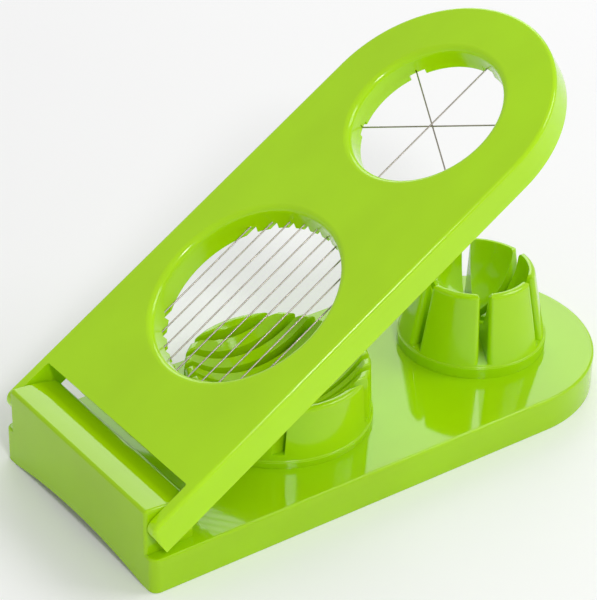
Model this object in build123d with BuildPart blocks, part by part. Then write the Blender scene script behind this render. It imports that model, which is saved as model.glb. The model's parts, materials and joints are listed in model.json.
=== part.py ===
from build123d import *
from math import cos, radians, sin, sqrt, tan
import os

# Egg slicer. Millimetres. +X runs from the hinge towards the round front end, +Y is the
# left side, +Z is up. The origin is on the table, under the middle of the tray.

# ---------------------------------------------------------------- driving dimensions
# tray
tray_length = 204.0
tray_width = 90.0
tray_height = 12.6
tray_wall = 2.2
deck_thickness = 2.4
tray_rear_corner = 3.0
tray_edge_round = 0.9
arch_half_width = 40.0
arch_rise = 3.9
tray_rib = 1.6
tray_rib_lift = 3.0

# hinge block on the tray
block_depth = 18.0
block_height = 16.2
block_fall = 2.4
block_round = 1.2

# hinge
hinge_from_rear = 5.0
hinge_above_deck = 8.7
hinge_drop = 5.0
pin_diameter = 4.0
pin_in_block = 8.0
pin_in_ear = 2.5
pin_end_gap = 0.2
pin_running_gap = 0.05
pin_boss_wall = 2.2
ear_thickness = 4.0
ear_gap = 0.4
ear_reach = 3.5
ear_rear_round = 3.5
lid_open_at_rest = 32.1

# lid
lid_plate = 2.4
lid_wall = 2.4
lid_depth = 10.8
lid_edge_round = 1.3
lid_overhang = 2.4
plate_from_hinge = 15.0
ear_root_length = 5.0
lid_rib = 1.6
lid_rib_depth = 3.4

# windows in the lid, and the rings that clamp their wires
slicing_from_hinge = 73.0
slicing_window_radius = 33.3
slicing_window_draft = 8.0
wedging_window_radius = 26.7
wedging_window_draft = 2.5
window_round = 2.4
window_wall = 2.2
ring_width = 6.2
ring_boss_inset = 0.2
ring_thickness = 3.2
collar_depth = 3.6
notch_reach = 2.8

# wires
wire_diameter = 0.5
slicing_wire_count = 10
slicing_wire_inset = 7.65
slicing_notch_width = 2.6
wedging_wire_count = 3
wedging_wire_gap = 0.05
wedging_notch_width = 5.6
wire_end_margin = 1.2

# slicing cup
slicing_cup_gap = 1.8
slicing_cup_height = 21.2
slicing_cup_taper = 0.8
slicing_foot_height = 2.4
slicing_foot_lip = 0.6
slicing_rim = 2.6
slicing_slot_width = 2.4

# wedging cup
wedging_cup_gap = 1.2
wedging_cup_height = 29.4
wedging_cup_taper = 4.8
wedging_foot_height = 4.1
wedging_foot_lip = 0.6
wedging_rim = 2.3
wedging_slot_width = 3.0

# both cups
slot_floor = 4.9
bowl_floor = 8.6
cup_wall = 2.2
petal_round = 1.0

# screws
cup_screw_diameter = 3.0
cup_screw_head = 6.0
cup_screw_head_height = 2.0
cup_screw_circle = 17.5
cup_boss_wall = 1.8
ring_screw_diameter = 2.2
ring_screw_head = 4.0
ring_screw_head_height = 1.5
ring_screw_bite = 4.6
screw_hole_gap = 0.2
screw_head_room = 1.0
cup_screw_cover = 1.0

# extra length of a cut that runs right through, and the slack when edges are picked
overrun = 2.0
pick_slack = 0.01

# ---------------------------------------------------------------- places worked out
deck_z = tray_height
rear_x = -tray_length / 2
nose_radius = tray_width / 2
nose_x = tray_length / 2 - nose_radius
hinge_x = rear_x + hinge_from_rear
hinge_z = deck_z + hinge_above_deck
ear_inner_y = tray_width / 2 - ear_thickness
block_half_width = ear_inner_y - ear_gap
block_front_x = rear_x + block_depth
block_top = deck_z + block_height
slicing_x = hinge_x + slicing_from_hinge
wedging_x = nose_x + lid_overhang
wedging_from_hinge = wedging_x - hinge_x
slicing_cup_radius = slicing_window_radius - slicing_cup_gap
wedging_cup_radius = wedging_window_radius - wedging_cup_gap
cup_recess_height = slot_floor - cup_wall
cup_screw_bite = slot_floor - cup_screw_cover
slicing_wire_span = 2 * (slicing_window_radius - slicing_wire_inset)
slicing_wire_pitch = slicing_wire_span / (slicing_wire_count - 1)
slicing_wire_y = [
    (k - (slicing_wire_count - 1) / 2) * slicing_wire_pitch for k in range(slicing_wire_count)
]
wedging_wire_step = wire_diameter + wedging_wire_gap
wedging_wire_angles = [k * 180 / wedging_wire_count for k in range(wedging_wire_count)]

# The lid is drawn on its own plane: local x runs forward from the hinge axis, local z is
# measured from the plate's top face. At rest the lid stands open.
lid_tilt = radians(lid_open_at_rest)
lid_top = Plane(
    origin=(hinge_x, 0, hinge_z),
    x_dir=(cos(lid_tilt), 0, sin(lid_tilt)),
    z_dir=(-sin(lid_tilt), 0, cos(lid_tilt)),
).offset(hinge_drop)
lid_up = Axis(lid_top.origin, lid_top.z_dir)
lid_forward = Axis(lid_top.origin, lid_top.x_dir)
collar_z = -lid_plate - collar_depth
ring_bottom_z = collar_z - ring_thickness
slicing_ring_radius = slicing_window_radius + ring_width
wedging_ring_radius = wedging_window_radius + ring_width

# screw places: three for each cup between its slots, four and three for the rings
slicing_cup_screw_turns = [30, 150, 270]
wedging_cup_screw_turns = [30, 150, 270]
slicing_ring_screw_turns = [62, 118, 242, 298]
wedging_ring_screw_turns = [90, 210, 330]


def on_circle(centre_x, radius, turns):
    """Points on a circle about (centre_x, 0), at the given angles in degrees."""
    return [(centre_x + radius * cos(radians(t)), radius * sin(radians(t))) for t in turns]


slicing_ring_screw_spots = on_circle(
    slicing_from_hinge, slicing_window_radius + ring_width / 2, slicing_ring_screw_turns
)
wedging_ring_screw_spots = on_circle(
    wedging_from_hinge, wedging_window_radius + ring_width / 2, wedging_ring_screw_turns
)


def nosed_outline(rear, nose, radius):
    """Closed wire: a strip of half-width radius from x = rear that ends in a half circle."""
    with BuildLine() as line:
        Polyline((nose, -radius), (rear, -radius), (rear, radius), (nose, radius))
        ThreePointArc((nose, radius), (nose + radius, 0), (nose, -radius))
    return line.wires()[0]


def block_side(rear, front, foot, rear_top, front_top):
    """Closed wire: side view of the hinge block, whose top falls in an arc to the front."""
    with BuildLine() as line:
        Polyline((rear, rear_top), (rear, foot), (front, foot), (front, front_top))
        TangentArc((rear, rear_top), (front, front_top), tangent=(1, 0))
    return line.wires()[0]


def save(piece, name):
    """Name a finished piece and write its STEP file."""
    piece.part.label = name
    export_step(piece.part, "parts/" + name + ".step")


os.makedirs("parts", exist_ok=True)

# ---------------------------------------------------------------- base tray
cavity_height = tray_height - deck_thickness
inner_radius = nose_radius - tray_wall

with BuildPart() as base_tray:
    # solid strip with a half-round nose
    with BuildSketch(Plane.XY):
        make_face(nosed_outline(rear_x, nose_x, nose_radius))
    extrude(amount=tray_height)
    rear_corners = base_tray.edges().filter_by(Axis.Z).group_by(Axis.X)[0]
    fillet(rear_corners, tray_rear_corner)
    fillet(base_tray.faces().sort_by(Axis.Z)[-1].edges(), tray_edge_round)

    # hinge block, flush with the rear wall, with a gently falling top
    with BuildSketch(Plane.XZ.offset(-block_half_width)):
        make_face(
            block_side(rear_x, block_front_x, cavity_height, block_top, block_top - block_fall)
        )
    block = extrude(amount=2 * block_half_width)
    upper_edges = base_tray.edges().filter_by_position(Axis.Z, deck_z + pick_slack, block_top)
    fillet(upper_edges, block_round)

    # hollow underneath: the tray, then the block
    with BuildSketch(Plane.XY):
        make_face(nosed_outline(rear_x + tray_wall, nose_x, inner_radius))
    extrude(amount=cavity_height, mode=Mode.SUBTRACT)
    hollow_half_width = block_half_width - tray_wall
    with BuildSketch(Plane.XZ.offset(-hollow_half_width)):
        make_face(
            block_side(
                rear_x + tray_wall,
                block_front_x - tray_wall,
                0,
                block_top - tray_wall,
                block_top - block_fall - tray_wall,
            )
        )
    extrude(amount=2 * hollow_half_width, mode=Mode.SUBTRACT)

    # shallow arch under the rear wall
    with BuildSketch(Plane.YZ.offset(rear_x)):
        with BuildLine():
            ThreePointArc((-arch_half_width, 0), (0, arch_rise), (arch_half_width, 0))
            Line((arch_half_width, 0), (-arch_half_width, 0))
        make_face()
    extrude(amount=tray_wall, mode=Mode.SUBTRACT)

    # bosses inside the block for the two hinge pins, and their blind holes
    boss_radius = pin_diameter / 2 + pin_boss_wall
    boss_length = pin_in_block + tray_wall
    for side in (-1, 1):
        end_plane = Plane(
            origin=(hinge_x, side * block_half_width, hinge_z), z_dir=(0, -side, 0)
        )
        with BuildSketch(end_plane):
            Circle(boss_radius)
        boss = extrude(amount=boss_length, mode=Mode.PRIVATE)
        add(boss & block)
        with BuildSketch(end_plane):
            Circle(pin_diameter / 2)
        extrude(amount=pin_in_block, mode=Mode.SUBTRACT)

    # stiffening ribs across the deck, clear of the table
    rib_top = cavity_height
    mid_rib_x = (slicing_x + slicing_cup_radius + wedging_x - wedging_cup_radius) / 2
    rib_places = [block_front_x + tray_rib, slicing_x, mid_rib_x, wedging_x]
    for rib_x in rib_places:
        reach = inner_radius
        if rib_x > nose_x:
            reach = sqrt(inner_radius**2 - (rib_x - nose_x) ** 2)
        with BuildSketch(Plane.XY.offset(tray_rib_lift)):
            with Locations((rib_x, 0)):
                Rectangle(tray_rib, 2 * reach)
        extrude(amount=rib_top - tray_rib_lift)

    # clearance holes for the cups' screws, with room for the heads in the ribs
    cup_screw_spots = on_circle(slicing_x, cup_screw_circle, slicing_cup_screw_turns)
    cup_screw_spots += on_circle(wedging_x, cup_screw_circle, wedging_cup_screw_turns)
    with BuildSketch(Plane.XY):
        with Locations(*cup_screw_spots):
            Circle(cup_screw_head / 2 + screw_head_room)
    extrude(amount=cavity_height, mode=Mode.SUBTRACT)
    with BuildSketch(Plane.XY.offset(cavity_height)):
        with Locations(*cup_screw_spots):
            Circle(cup_screw_diameter / 2 + screw_hole_gap)
    extrude(amount=deck_thickness, mode=Mode.SUBTRACT)
save(base_tray, "base_tray")


# ---------------------------------------------------------------- slicing cup
def cup_side(radius, height, taper, foot_height, foot_lip):
    """Outer side of a cup, in (radius, z): foot ring, step, tapered wall."""
    return [
        (0, deck_z),
        (radius + foot_lip, deck_z),
        (radius + foot_lip, deck_z + foot_height),
        (radius, deck_z + foot_height),
        (radius - taper, deck_z + height),
    ]


def bowl_centre_z(rim_radius, rim_z, floor_z):
    """Height of the centre of the sphere that meets the rim and the bowl's floor."""
    depth = rim_z - floor_z
    return floor_z + (rim_radius**2 + depth**2) / (2 * depth)


bowl_floor_z = deck_z + bowl_floor
slot_floor_z = deck_z + slot_floor

slicing_top_z = deck_z + slicing_cup_height
slicing_bowl_radius = slicing_cup_radius - slicing_cup_taper - slicing_rim
slicing_bowl_centre = bowl_centre_z(slicing_bowl_radius, slicing_top_z, bowl_floor_z)
slicing_bowl_sphere = slicing_bowl_centre - bowl_floor_z
slicing_axis = Plane.XZ.move(Location((slicing_x, 0, 0)))

with BuildPart() as slicing_cup:
    with BuildSketch(slicing_axis):
        with BuildLine():
            Polyline(
                *cup_side(
                    slicing_cup_radius,
                    slicing_cup_height,
                    slicing_cup_taper,
                    slicing_foot_height,
                    slicing_foot_lip,
                ),
                (0, slicing_top_z),
                close=True,
            )
        make_face()
    revolve(axis=Axis((slicing_x, 0, 0), (0, 0, 1)))
    fillet(slicing_cup.edges().group_by(Axis.Z)[-1], petal_round)
    with Locations((slicing_x, 0, slicing_bowl_centre)):
        Sphere(slicing_bowl_sphere, mode=Mode.SUBTRACT)

    # one slot for each wire, open at the top and through both ends
    slot_height = slicing_cup_height - slot_floor
    with BuildSketch(Plane.XY.offset(slot_floor_z)):
        with Locations(*[(slicing_x, y) for y in slicing_wire_y]):
            Rectangle(2 * slicing_cup_radius + overrun, slicing_slot_width)
    extrude(amount=slot_height, mode=Mode.SUBTRACT)

    # recess underneath, with bosses for the screws
    with BuildSketch(Plane.XY.offset(deck_z)):
        with Locations((slicing_x, 0)):
            Circle(slicing_cup_radius - cup_wall)
        with Locations(*on_circle(slicing_x, cup_screw_circle, slicing_cup_screw_turns)):
            Circle(cup_screw_diameter / 2 + cup_boss_wall, mode=Mode.SUBTRACT)
    extrude(amount=cup_recess_height, mode=Mode.SUBTRACT)
    with BuildSketch(Plane.XY.offset(deck_z)):
        with Locations(*on_circle(slicing_x, cup_screw_circle, slicing_cup_screw_turns)):
            Circle(cup_screw_diameter / 2)
    extrude(amount=cup_screw_bite, mode=Mode.SUBTRACT)
save(slicing_cup, "slicing_cup")

# ---------------------------------------------------------------- wedging cup
wedging_top_z = deck_z + wedging_cup_height
wedging_bowl_radius = wedging_cup_radius - wedging_cup_taper - wedging_rim
wedging_axis = Plane.XZ.move(Location((wedging_x, 0, 0)))
wedging_bowl_depth = wedging_top_z - bowl_floor_z

with BuildPart() as wedging_cup:
    with BuildSketch(wedging_axis):
        with BuildLine():
            Polyline(
                *cup_side(
                    wedging_cup_radius,
                    wedging_cup_height,
                    wedging_cup_taper,
                    wedging_foot_height,
                    wedging_foot_lip,
                ),
                (0, wedging_top_z),
                close=True,
            )
        make_face()
    revolve(axis=Axis((wedging_x, 0, 0), (0, 0, 1)))

    # egg-shaped seat: a quarter ellipse turned about the cup's axis
    with BuildSketch(wedging_axis):
        with BuildLine():
            EllipticalCenterArc(
                (0, wedging_top_z),
                wedging_bowl_radius,
                wedging_bowl_depth,
                start_angle=270,
                arc_size=90,
            )
            Polyline(
                (wedging_bowl_radius, wedging_top_z),
                (wedging_bowl_radius, wedging_top_z + overrun),
                (0, wedging_top_z + overrun),
                (0, bowl_floor_z),
            )
        make_face()
    revolve(axis=Axis((wedging_x, 0, 0), (0, 0, 1)), mode=Mode.SUBTRACT)

    # three full-width slots make the six petals
    slot_height = wedging_cup_height - slot_floor
    with BuildSketch(Plane.XY.offset(slot_floor_z)):
        for turn in wedging_wire_angles:
            with Locations(Location((wedging_x, 0, 0), (0, 0, turn))):
                Rectangle(2 * wedging_cup_radius + overrun, wedging_slot_width)
    extrude(amount=slot_height, mode=Mode.SUBTRACT)
    petal_edges = wedging_cup.edges().filter_by_position(
        Axis.Z, wedging_top_z - pick_slack, wedging_top_z + pick_slack
    )
    fillet(petal_edges, petal_round)

    # recess underneath, with bosses for the screws
    with BuildSketch(Plane.XY.offset(deck_z)):
        with Locations((wedging_x, 0)):
            Circle(wedging_cup_radius - cup_wall)
        with Locations(*on_circle(wedging_x, cup_screw_circle, wedging_cup_screw_turns)):
            Circle(cup_screw_diameter / 2 + cup_boss_wall, mode=Mode.SUBTRACT)
    extrude(amount=cup_recess_height, mode=Mode.SUBTRACT)
    with BuildSketch(Plane.XY.offset(deck_z)):
        with Locations(*on_circle(wedging_x, cup_screw_circle, wedging_cup_screw_turns)):
            Circle(cup_screw_diameter / 2)
    extrude(amount=cup_screw_bite, mode=Mode.SUBTRACT)
save(wedging_cup, "wedging_cup")


# ---------------------------------------------------------------- screws under the deck
def cup_screws(centre_x, turns, name):
    """Pan-head screws that come up through the deck into one cup."""
    spots = on_circle(centre_x, cup_screw_circle, turns)
    with BuildPart() as screws:
        with BuildSketch(Plane.XY.offset(cavity_height - cup_screw_head_height)):
            with Locations(*spots):
                Circle(cup_screw_head / 2)
        extrude(amount=cup_screw_head_height)
        with BuildSketch(Plane.XY.offset(cavity_height)):
            with Locations(*spots):
                Circle(cup_screw_diameter / 2)
        extrude(amount=deck_thickness + cup_screw_bite)
    save(screws, name)


cup_screws(slicing_x, slicing_cup_screw_turns, "slicing_cup_screws")
cup_screws(wedging_x, wedging_cup_screw_turns, "wedging_cup_screws")

# ---------------------------------------------------------------- hinge pins
for side, side_name in ((-1, "right"), (1, "left")):
    pin_start = block_half_width - pin_in_block
    pin_length = pin_in_block + ear_gap + pin_in_ear
    with BuildPart() as hinge_pin:
        with BuildSketch(Plane(origin=(hinge_x, side * pin_start, hinge_z), z_dir=(0, side, 0))):
            Circle(pin_diameter / 2)
        extrude(amount=pin_length)
    save(hinge_pin, "hinge_pin_" + side_name)

# ---------------------------------------------------------------- lid frame
lid_inner_radius = nose_radius - lid_wall
window_cones = [
    (slicing_from_hinge, slicing_window_radius, slicing_window_draft),
    (wedging_from_hinge, wedging_window_radius, wedging_window_draft),
]
lid_front = wedging_from_hinge


def low_radius(radius, draft):
    """Radius at the rings' lower face of a window that tapers by the draft angle."""
    return radius + ring_bottom_z * tan(radians(draft))


def lid_point(point):
    """A point in the lid's own coordinates."""
    return lid_top.to_local_coords(point)


def is_outer_top_edge(edge):
    """True for the edges round the outside of the lid's top face."""
    middle = lid_point(edge @ 0.5)
    on_side = abs(abs(middle.Y) - nose_radius) < pick_slack
    on_nose = middle.X > lid_front + nose_radius - pick_slack
    return middle.Z > -ear_rear_round and (on_side or on_nose)


with BuildPart() as lid_frame:
    # whole outline with its ears, as one block
    with BuildSketch(lid_top):
        make_face(nosed_outline(-ear_reach, lid_front, nose_radius))
        with Locations(((plate_from_hinge - ear_reach) / 2, 0)):
            Rectangle(plate_from_hinge + ear_reach, 2 * ear_inner_y, mode=Mode.SUBTRACT)
    extrude(amount=-lid_depth)

    # rounded upper corner at each ear's rear end, then a rounded outer top edge all round
    ear_ends = lid_frame.edges().group_by(lid_up)[-1].group_by(lid_forward)[0]
    fillet(ear_ends, ear_rear_round)
    outer_edges = lid_frame.edges().filter_by(is_outer_top_edge)
    fillet(outer_edges, lid_edge_round)

    # hollow under the plate, open at the rear between the ears
    with BuildSketch(lid_top.offset(-lid_depth)):
        make_face(nosed_outline(plate_from_hinge + ear_root_length, lid_front, lid_inner_radius))
        with Locations((plate_from_hinge + ear_root_length / 2, 0)):
            Rectangle(ear_root_length, 2 * ear_inner_y)
    extrude(amount=lid_depth - lid_plate, mode=Mode.SUBTRACT)

    # collars under the plate that the wire rings bear on: an inner and an outer wall
    for centre, inner, outer in (
        (slicing_from_hinge, slicing_window_radius, slicing_ring_radius),
        (wedging_from_hinge, wedging_window_radius, wedging_ring_radius),
    ):
        with BuildSketch(lid_top.offset(collar_z)):
            with Locations((centre, 0)):
                Circle(outer)
                Circle(outer - lid_rib, mode=Mode.SUBTRACT)
                Circle(inner + window_wall)
        extrude(amount=collar_depth)

    # bosses for the ring screws
    with BuildSketch(lid_top.offset(collar_z)):
        with Locations(*slicing_ring_screw_spots, *wedging_ring_screw_spots):
            Circle(ring_width / 2 - ring_boss_inset)
    extrude(amount=collar_depth)

    # stiffening ribs: behind the rear window and between the windows
    mid_rib = (
        slicing_from_hinge + slicing_ring_radius + wedging_from_hinge - wedging_ring_radius
    ) / 2
    for rib in (plate_from_hinge + ear_root_length + lid_rib, mid_rib):
        with BuildSketch(lid_top.offset(-lid_plate - lid_rib_depth)):
            with Locations((rib, 0)):
                Rectangle(lid_rib, 2 * lid_inner_radius)
        extrude(amount=lid_rib_depth)

    # the two windows, tapering down through plate and collar
    for centre, radius, draft in window_cones:
        with BuildSketch(lid_top.offset(ring_bottom_z)):
            with Locations((centre, 0)):
                Circle(low_radius(radius, draft))
        extrude(amount=-ring_bottom_z, taper=-draft, mode=Mode.SUBTRACT)

    # rounded rims where the windows meet the top face
    rims = lid_frame.faces().sort_by(lid_up)[-1].edges().filter_by(GeomType.CIRCLE)
    fillet([rim for rim in rims if rim.is_closed], window_round)

    # pilot holes for the ring screws
    with BuildSketch(lid_top.offset(collar_z)):
        with Locations(*slicing_ring_screw_spots, *wedging_ring_screw_spots):
            Circle(ring_screw_diameter / 2)
    extrude(amount=ring_screw_bite, mode=Mode.SUBTRACT)

    # blind holes in the ears that turn on the pins
    for side in (-1, 1):
        ear_plane = Plane(origin=(hinge_x, side * ear_inner_y, hinge_z), z_dir=(0, side, 0))
        with BuildSketch(ear_plane):
            Circle(pin_diameter / 2 + pin_running_gap)
        extrude(amount=pin_in_ear + pin_end_gap, mode=Mode.SUBTRACT)
save(lid_frame, "lid_frame")


# ---------------------------------------------------------------- wire rings
# each wire: sideways offset, turn about the window's axis, and level below the collar
slicing_wires = [(y, 0, 0) for y in slicing_wire_y]
wedging_wires = [(0, turn, level) for level, turn in enumerate(wedging_wire_angles)]


def half_chord(radius, y):
    """Half the length of a circle's chord at the offset y."""
    return sqrt(radius**2 - y**2)


def wire_ring(name, centre, inner, draft, outer, wires, notch_width, screw_spots):
    """Ring under the lid with a groove for each wire, end notches and screw holes."""
    with BuildPart() as ring:
        with BuildSketch(lid_top.offset(ring_bottom_z)):
            with Locations((centre, 0)):
                Circle(outer)
        extrude(amount=ring_thickness)
        # the bore carries on the window's taper
        with BuildSketch(lid_top.offset(ring_bottom_z)):
            with Locations((centre, 0)):
                Circle(low_radius(inner, draft))
        extrude(amount=ring_thickness, taper=-draft, mode=Mode.SUBTRACT)
        for y, turn, level in wires:
            wire_floor = wire_diameter + level * wedging_wire_step
            place = Location((centre, 0, 0), (0, 0, turn)) * Location((0, y, 0))
            # the wire lies in a groove in the upper face
            with BuildSketch(lid_top.offset(collar_z)):
                with Locations(place):
                    Rectangle(2 * half_chord(outer - wire_end_margin, y), wire_diameter)
            extrude(amount=-wire_floor, mode=Mode.SUBTRACT)
            # a notch under both of its ends, open downwards
            with BuildSketch(lid_top.offset(ring_bottom_z)):
                with Locations(place):
                    Rectangle(2 * half_chord(inner + notch_reach, y), notch_width)
            extrude(amount=ring_thickness - wire_floor, mode=Mode.SUBTRACT)
        # counterbored holes for the screws
        with BuildSketch(lid_top.offset(ring_bottom_z)):
            with Locations(*screw_spots):
                Circle(ring_screw_head / 2 + screw_hole_gap)
        extrude(amount=ring_screw_head_height, mode=Mode.SUBTRACT)
        with BuildSketch(lid_top.offset(ring_bottom_z)):
            with Locations(*screw_spots):
                Circle(ring_screw_diameter / 2 + screw_hole_gap)
        extrude(amount=ring_thickness, mode=Mode.SUBTRACT)
    save(ring, name)


wire_ring(
    "slicing_wire_ring",
    slicing_from_hinge,
    slicing_window_radius,
    slicing_window_draft,
    slicing_ring_radius,
    slicing_wires,
    slicing_notch_width,
    slicing_ring_screw_spots,
)
wire_ring(
    "wedging_wire_ring",
    wedging_from_hinge,
    wedging_window_radius,
    wedging_window_draft,
    wedging_ring_radius,
    wedging_wires,
    wedging_notch_width,
    wedging_ring_screw_spots,
)


# ---------------------------------------------------------------- ring screws
def ring_screws(name, spots):
    """Screws that hold one wire ring up against the lid."""
    with BuildPart() as screws:
        with BuildSketch(lid_top.offset(ring_bottom_z)):
            with Locations(*spots):
                Circle(ring_screw_head / 2)
        extrude(amount=ring_screw_head_height)
        with BuildSketch(lid_top.offset(ring_bottom_z)):
            with Locations(*spots):
                Circle(ring_screw_diameter / 2)
        extrude(amount=ring_thickness + ring_screw_bite)
    save(screws, name)


ring_screws("slicing_ring_screws", slicing_ring_screw_spots)
ring_screws("wedging_ring_screws", wedging_ring_screw_spots)


# ---------------------------------------------------------------- wires
def wire(name, centre, ring_radius, y, turn, level):
    """One straight wire in its groove; at level 0 it touches the collar."""
    axis_z = collar_z - wire_diameter / 2 - level * wedging_wire_step
    half_length = half_chord(ring_radius - wire_end_margin, y)
    place = Location((centre, 0, 0), (0, 0, turn)) * Location((-half_length, y, 0), (0, 90, 0))
    with BuildPart() as steel:
        with BuildSketch(Plane(lid_top.offset(axis_z).location * place)):
            Circle(wire_diameter / 2)
        extrude(amount=2 * half_length)
    save(steel, name)


for number, (y, turn, level) in enumerate(slicing_wires):
    name = "slicing_wire_%02d" % (number + 1)
    wire(name, slicing_from_hinge, slicing_ring_radius, y, turn, level)

for number, (y, turn, level) in enumerate(wedging_wires):
    name = "wedging_wire_%d" % (number + 1)
    wire(name, wedging_from_hinge, wedging_ring_radius, y, turn, level)
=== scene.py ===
"""Egg slicer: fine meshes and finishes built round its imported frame."""
import json
from math import atan, cos, degrees, pi, radians, sin, sqrt, tan

import bpy
from bpy.props import FloatProperty, FloatVectorProperty, PointerProperty
from bpy.types import Operator, Panel, PropertyGroup
from mathutils import Matrix, Vector


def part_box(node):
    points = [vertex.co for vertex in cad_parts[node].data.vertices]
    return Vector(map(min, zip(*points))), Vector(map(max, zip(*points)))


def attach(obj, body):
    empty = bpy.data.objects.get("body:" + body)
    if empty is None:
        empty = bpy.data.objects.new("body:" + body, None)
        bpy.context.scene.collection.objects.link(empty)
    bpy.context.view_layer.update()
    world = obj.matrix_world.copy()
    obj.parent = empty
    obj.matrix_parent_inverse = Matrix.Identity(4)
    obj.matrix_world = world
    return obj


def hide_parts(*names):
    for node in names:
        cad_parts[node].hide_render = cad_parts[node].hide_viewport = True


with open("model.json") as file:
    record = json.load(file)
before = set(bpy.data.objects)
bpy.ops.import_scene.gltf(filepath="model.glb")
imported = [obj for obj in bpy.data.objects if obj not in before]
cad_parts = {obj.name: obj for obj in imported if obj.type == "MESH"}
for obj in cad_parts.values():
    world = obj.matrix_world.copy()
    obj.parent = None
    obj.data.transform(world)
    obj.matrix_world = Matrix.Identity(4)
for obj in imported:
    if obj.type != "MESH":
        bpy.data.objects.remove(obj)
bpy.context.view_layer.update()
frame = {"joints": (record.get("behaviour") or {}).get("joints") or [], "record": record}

bl_info = {
    "name": "Egg slicer",
    "version": (1, 0, 0),
    "blender": (4, 5, 0),
    "location": "View3D > Sidebar > Egg slicer",
    "description": "Builds the mouldings, wires, screws and pins of a two-way egg slicer",
    "category": "Add Mesh",
}

# Pieces are drawn in millimetres and scaled to metres when they are put in place.
MM = 0.001


def node_box(node):
    """Lowest and highest corners of a frame node, in millimetres."""
    low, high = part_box(node)
    return Vector(low) / MM, Vector(high) / MM


# ------------------------------------------------------------------ sizes from the frame
TRAY_LOW, TRAY_HIGH = node_box("base_tray")
SLICING_LOW, SLICING_HIGH = node_box("slicing_cup")
WEDGING_LOW, WEDGING_HIGH = node_box("wedging_cup")
HALF_WIDTH = TRAY_HIGH.y
NOSE_X = TRAY_HIGH.x - HALF_WIDTH
DECK_Z = SLICING_LOW.z
SLICING_X = (SLICING_LOW.x + SLICING_HIGH.x) / 2
WEDGING_X = (WEDGING_LOW.x + WEDGING_HIGH.x) / 2
HINGE = Vector(frame["joints"][0]["pos_m"]) / MM
REST_TILT = -radians(frame["joints"][0]["range_deg"][0])
SLICING_RING_OUT = node_box("slicing_wire_ring")[1].y
WEDGING_RING_OUT = node_box("wedging_wire_ring")[1].y

# tray
TRAY_WALL = 2.2
REAR_CORNER = 3.0
DECK_UNDER = DECK_Z - 2.4
BLOCK_DEPTH = 18.0
BLOCK_HALF = 40.6
BLOCK_TOP = DECK_Z + 16.2
BLOCK_FALL = 2.4
BLOCK_ROUND = 1.2
BLOCK_STEPS = 12
ARCH_HALF, ARCH_RISE = 40.0, 3.9
RIB = 1.6
RIB_LIFT = 3.0
OVERRUN = 2

# hinge, lid, windows and rings; the lid's x starts at the hinge axis, its z at the top face
PIN_RADIUS = 2.0
PIN_IN_BLOCK = 8.0
PIN_IN_EAR = 2.7
PIN_BOSS_WALL = 2.2
PIN_GAP = 0.05
HINGE_DROP = 5.0
PLATE = 2.4
SKIRT = 2.4
LID_DEPTH = 10.8
EAR_IN = 41.0
EAR_REACH = 3.5
EAR_ROUND = 3.5
PLATE_REAR = 15.0
EAR_ROOT = 5.0
SLICING_S = SLICING_X - HINGE.x
WEDGING_S = WEDGING_X - HINGE.x
LID_RIB_DEPTH = 3.4
COLLAR_WALL = 2.2
COLLAR_ROOT = -1
RING_WIDTH = 6.2
RING_TOP = -6.0
RING_LOW = RING_TOP - 3.2
SLICING_WINDOW = SLICING_RING_OUT - RING_WIDTH
WEDGING_WINDOW = WEDGING_RING_OUT - RING_WIDTH
SLICING_DRAFT, WEDGING_DRAFT = 8.0, 2.5
NOTCH_REACH = 2.8
SLICING_NOTCH, WEDGING_NOTCH = 2.6, 5.6
SLICING_TURNS = (62, 118, 242, 298)
WEDGING_TURNS = (90, 210, 330)

# wires
WIRE = 0.5
WIRE_STEP = 0.55
WIRE_END = 1.2
SLICING_PITCH = 5.7
SLICING_WIRES = [((k - 4.5) * SLICING_PITCH, 0.0, 0) for k in range(10)]
WEDGING_WIRES = [(0.0, 60.0 * k, k) for k in range(3)]

# cups
SLOT_FLOOR = DECK_Z + 4.9
BOWL_FLOOR = DECK_Z + 8.6
CUP_WALL = 2.2
FOOT_LIP = 0.6
SLICING_RADIUS = (SLICING_HIGH.x - SLICING_LOW.x) / 2 - FOOT_LIP
WEDGING_RADIUS = (WEDGING_HIGH.x - WEDGING_LOW.x) / 2 - FOOT_LIP
SLICING_FOOT, WEDGING_FOOT = 2.4, 4.1
SLICING_TAPER, WEDGING_TAPER = 0.8, 4.8
SLICING_RIM, WEDGING_RIM = 2.6, 2.3
SLICING_SHOULDER, WEDGING_SHOULDER = 1.5, 1.9
SLICING_SLOT, WEDGING_SLOT = 2.4, 3.0
CUP_SCREW_CIRCLE = 17.5
CUP_TURNS = (30, 150, 270)

# screws: head radius, head height, shank radius, length and width of the cross recess
CUP_SCREW = (3.0, 2.0, 1.5, SLOT_FLOOR - 1.0 - DECK_UNDER, 3.0)
RING_SCREW = (2.0, 1.5, 1.1, 6.3, 2.2)

LID_PLACE = (
    Matrix.Scale(MM, 4)
    @ Matrix.Translation(HINGE)
    @ Matrix.Rotation(-REST_TILT, 4, "Y")
    @ Matrix.Translation((0, 0, HINGE_DROP))
)
TRAY_PLACE = Matrix.Scale(MM, 4)


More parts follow.
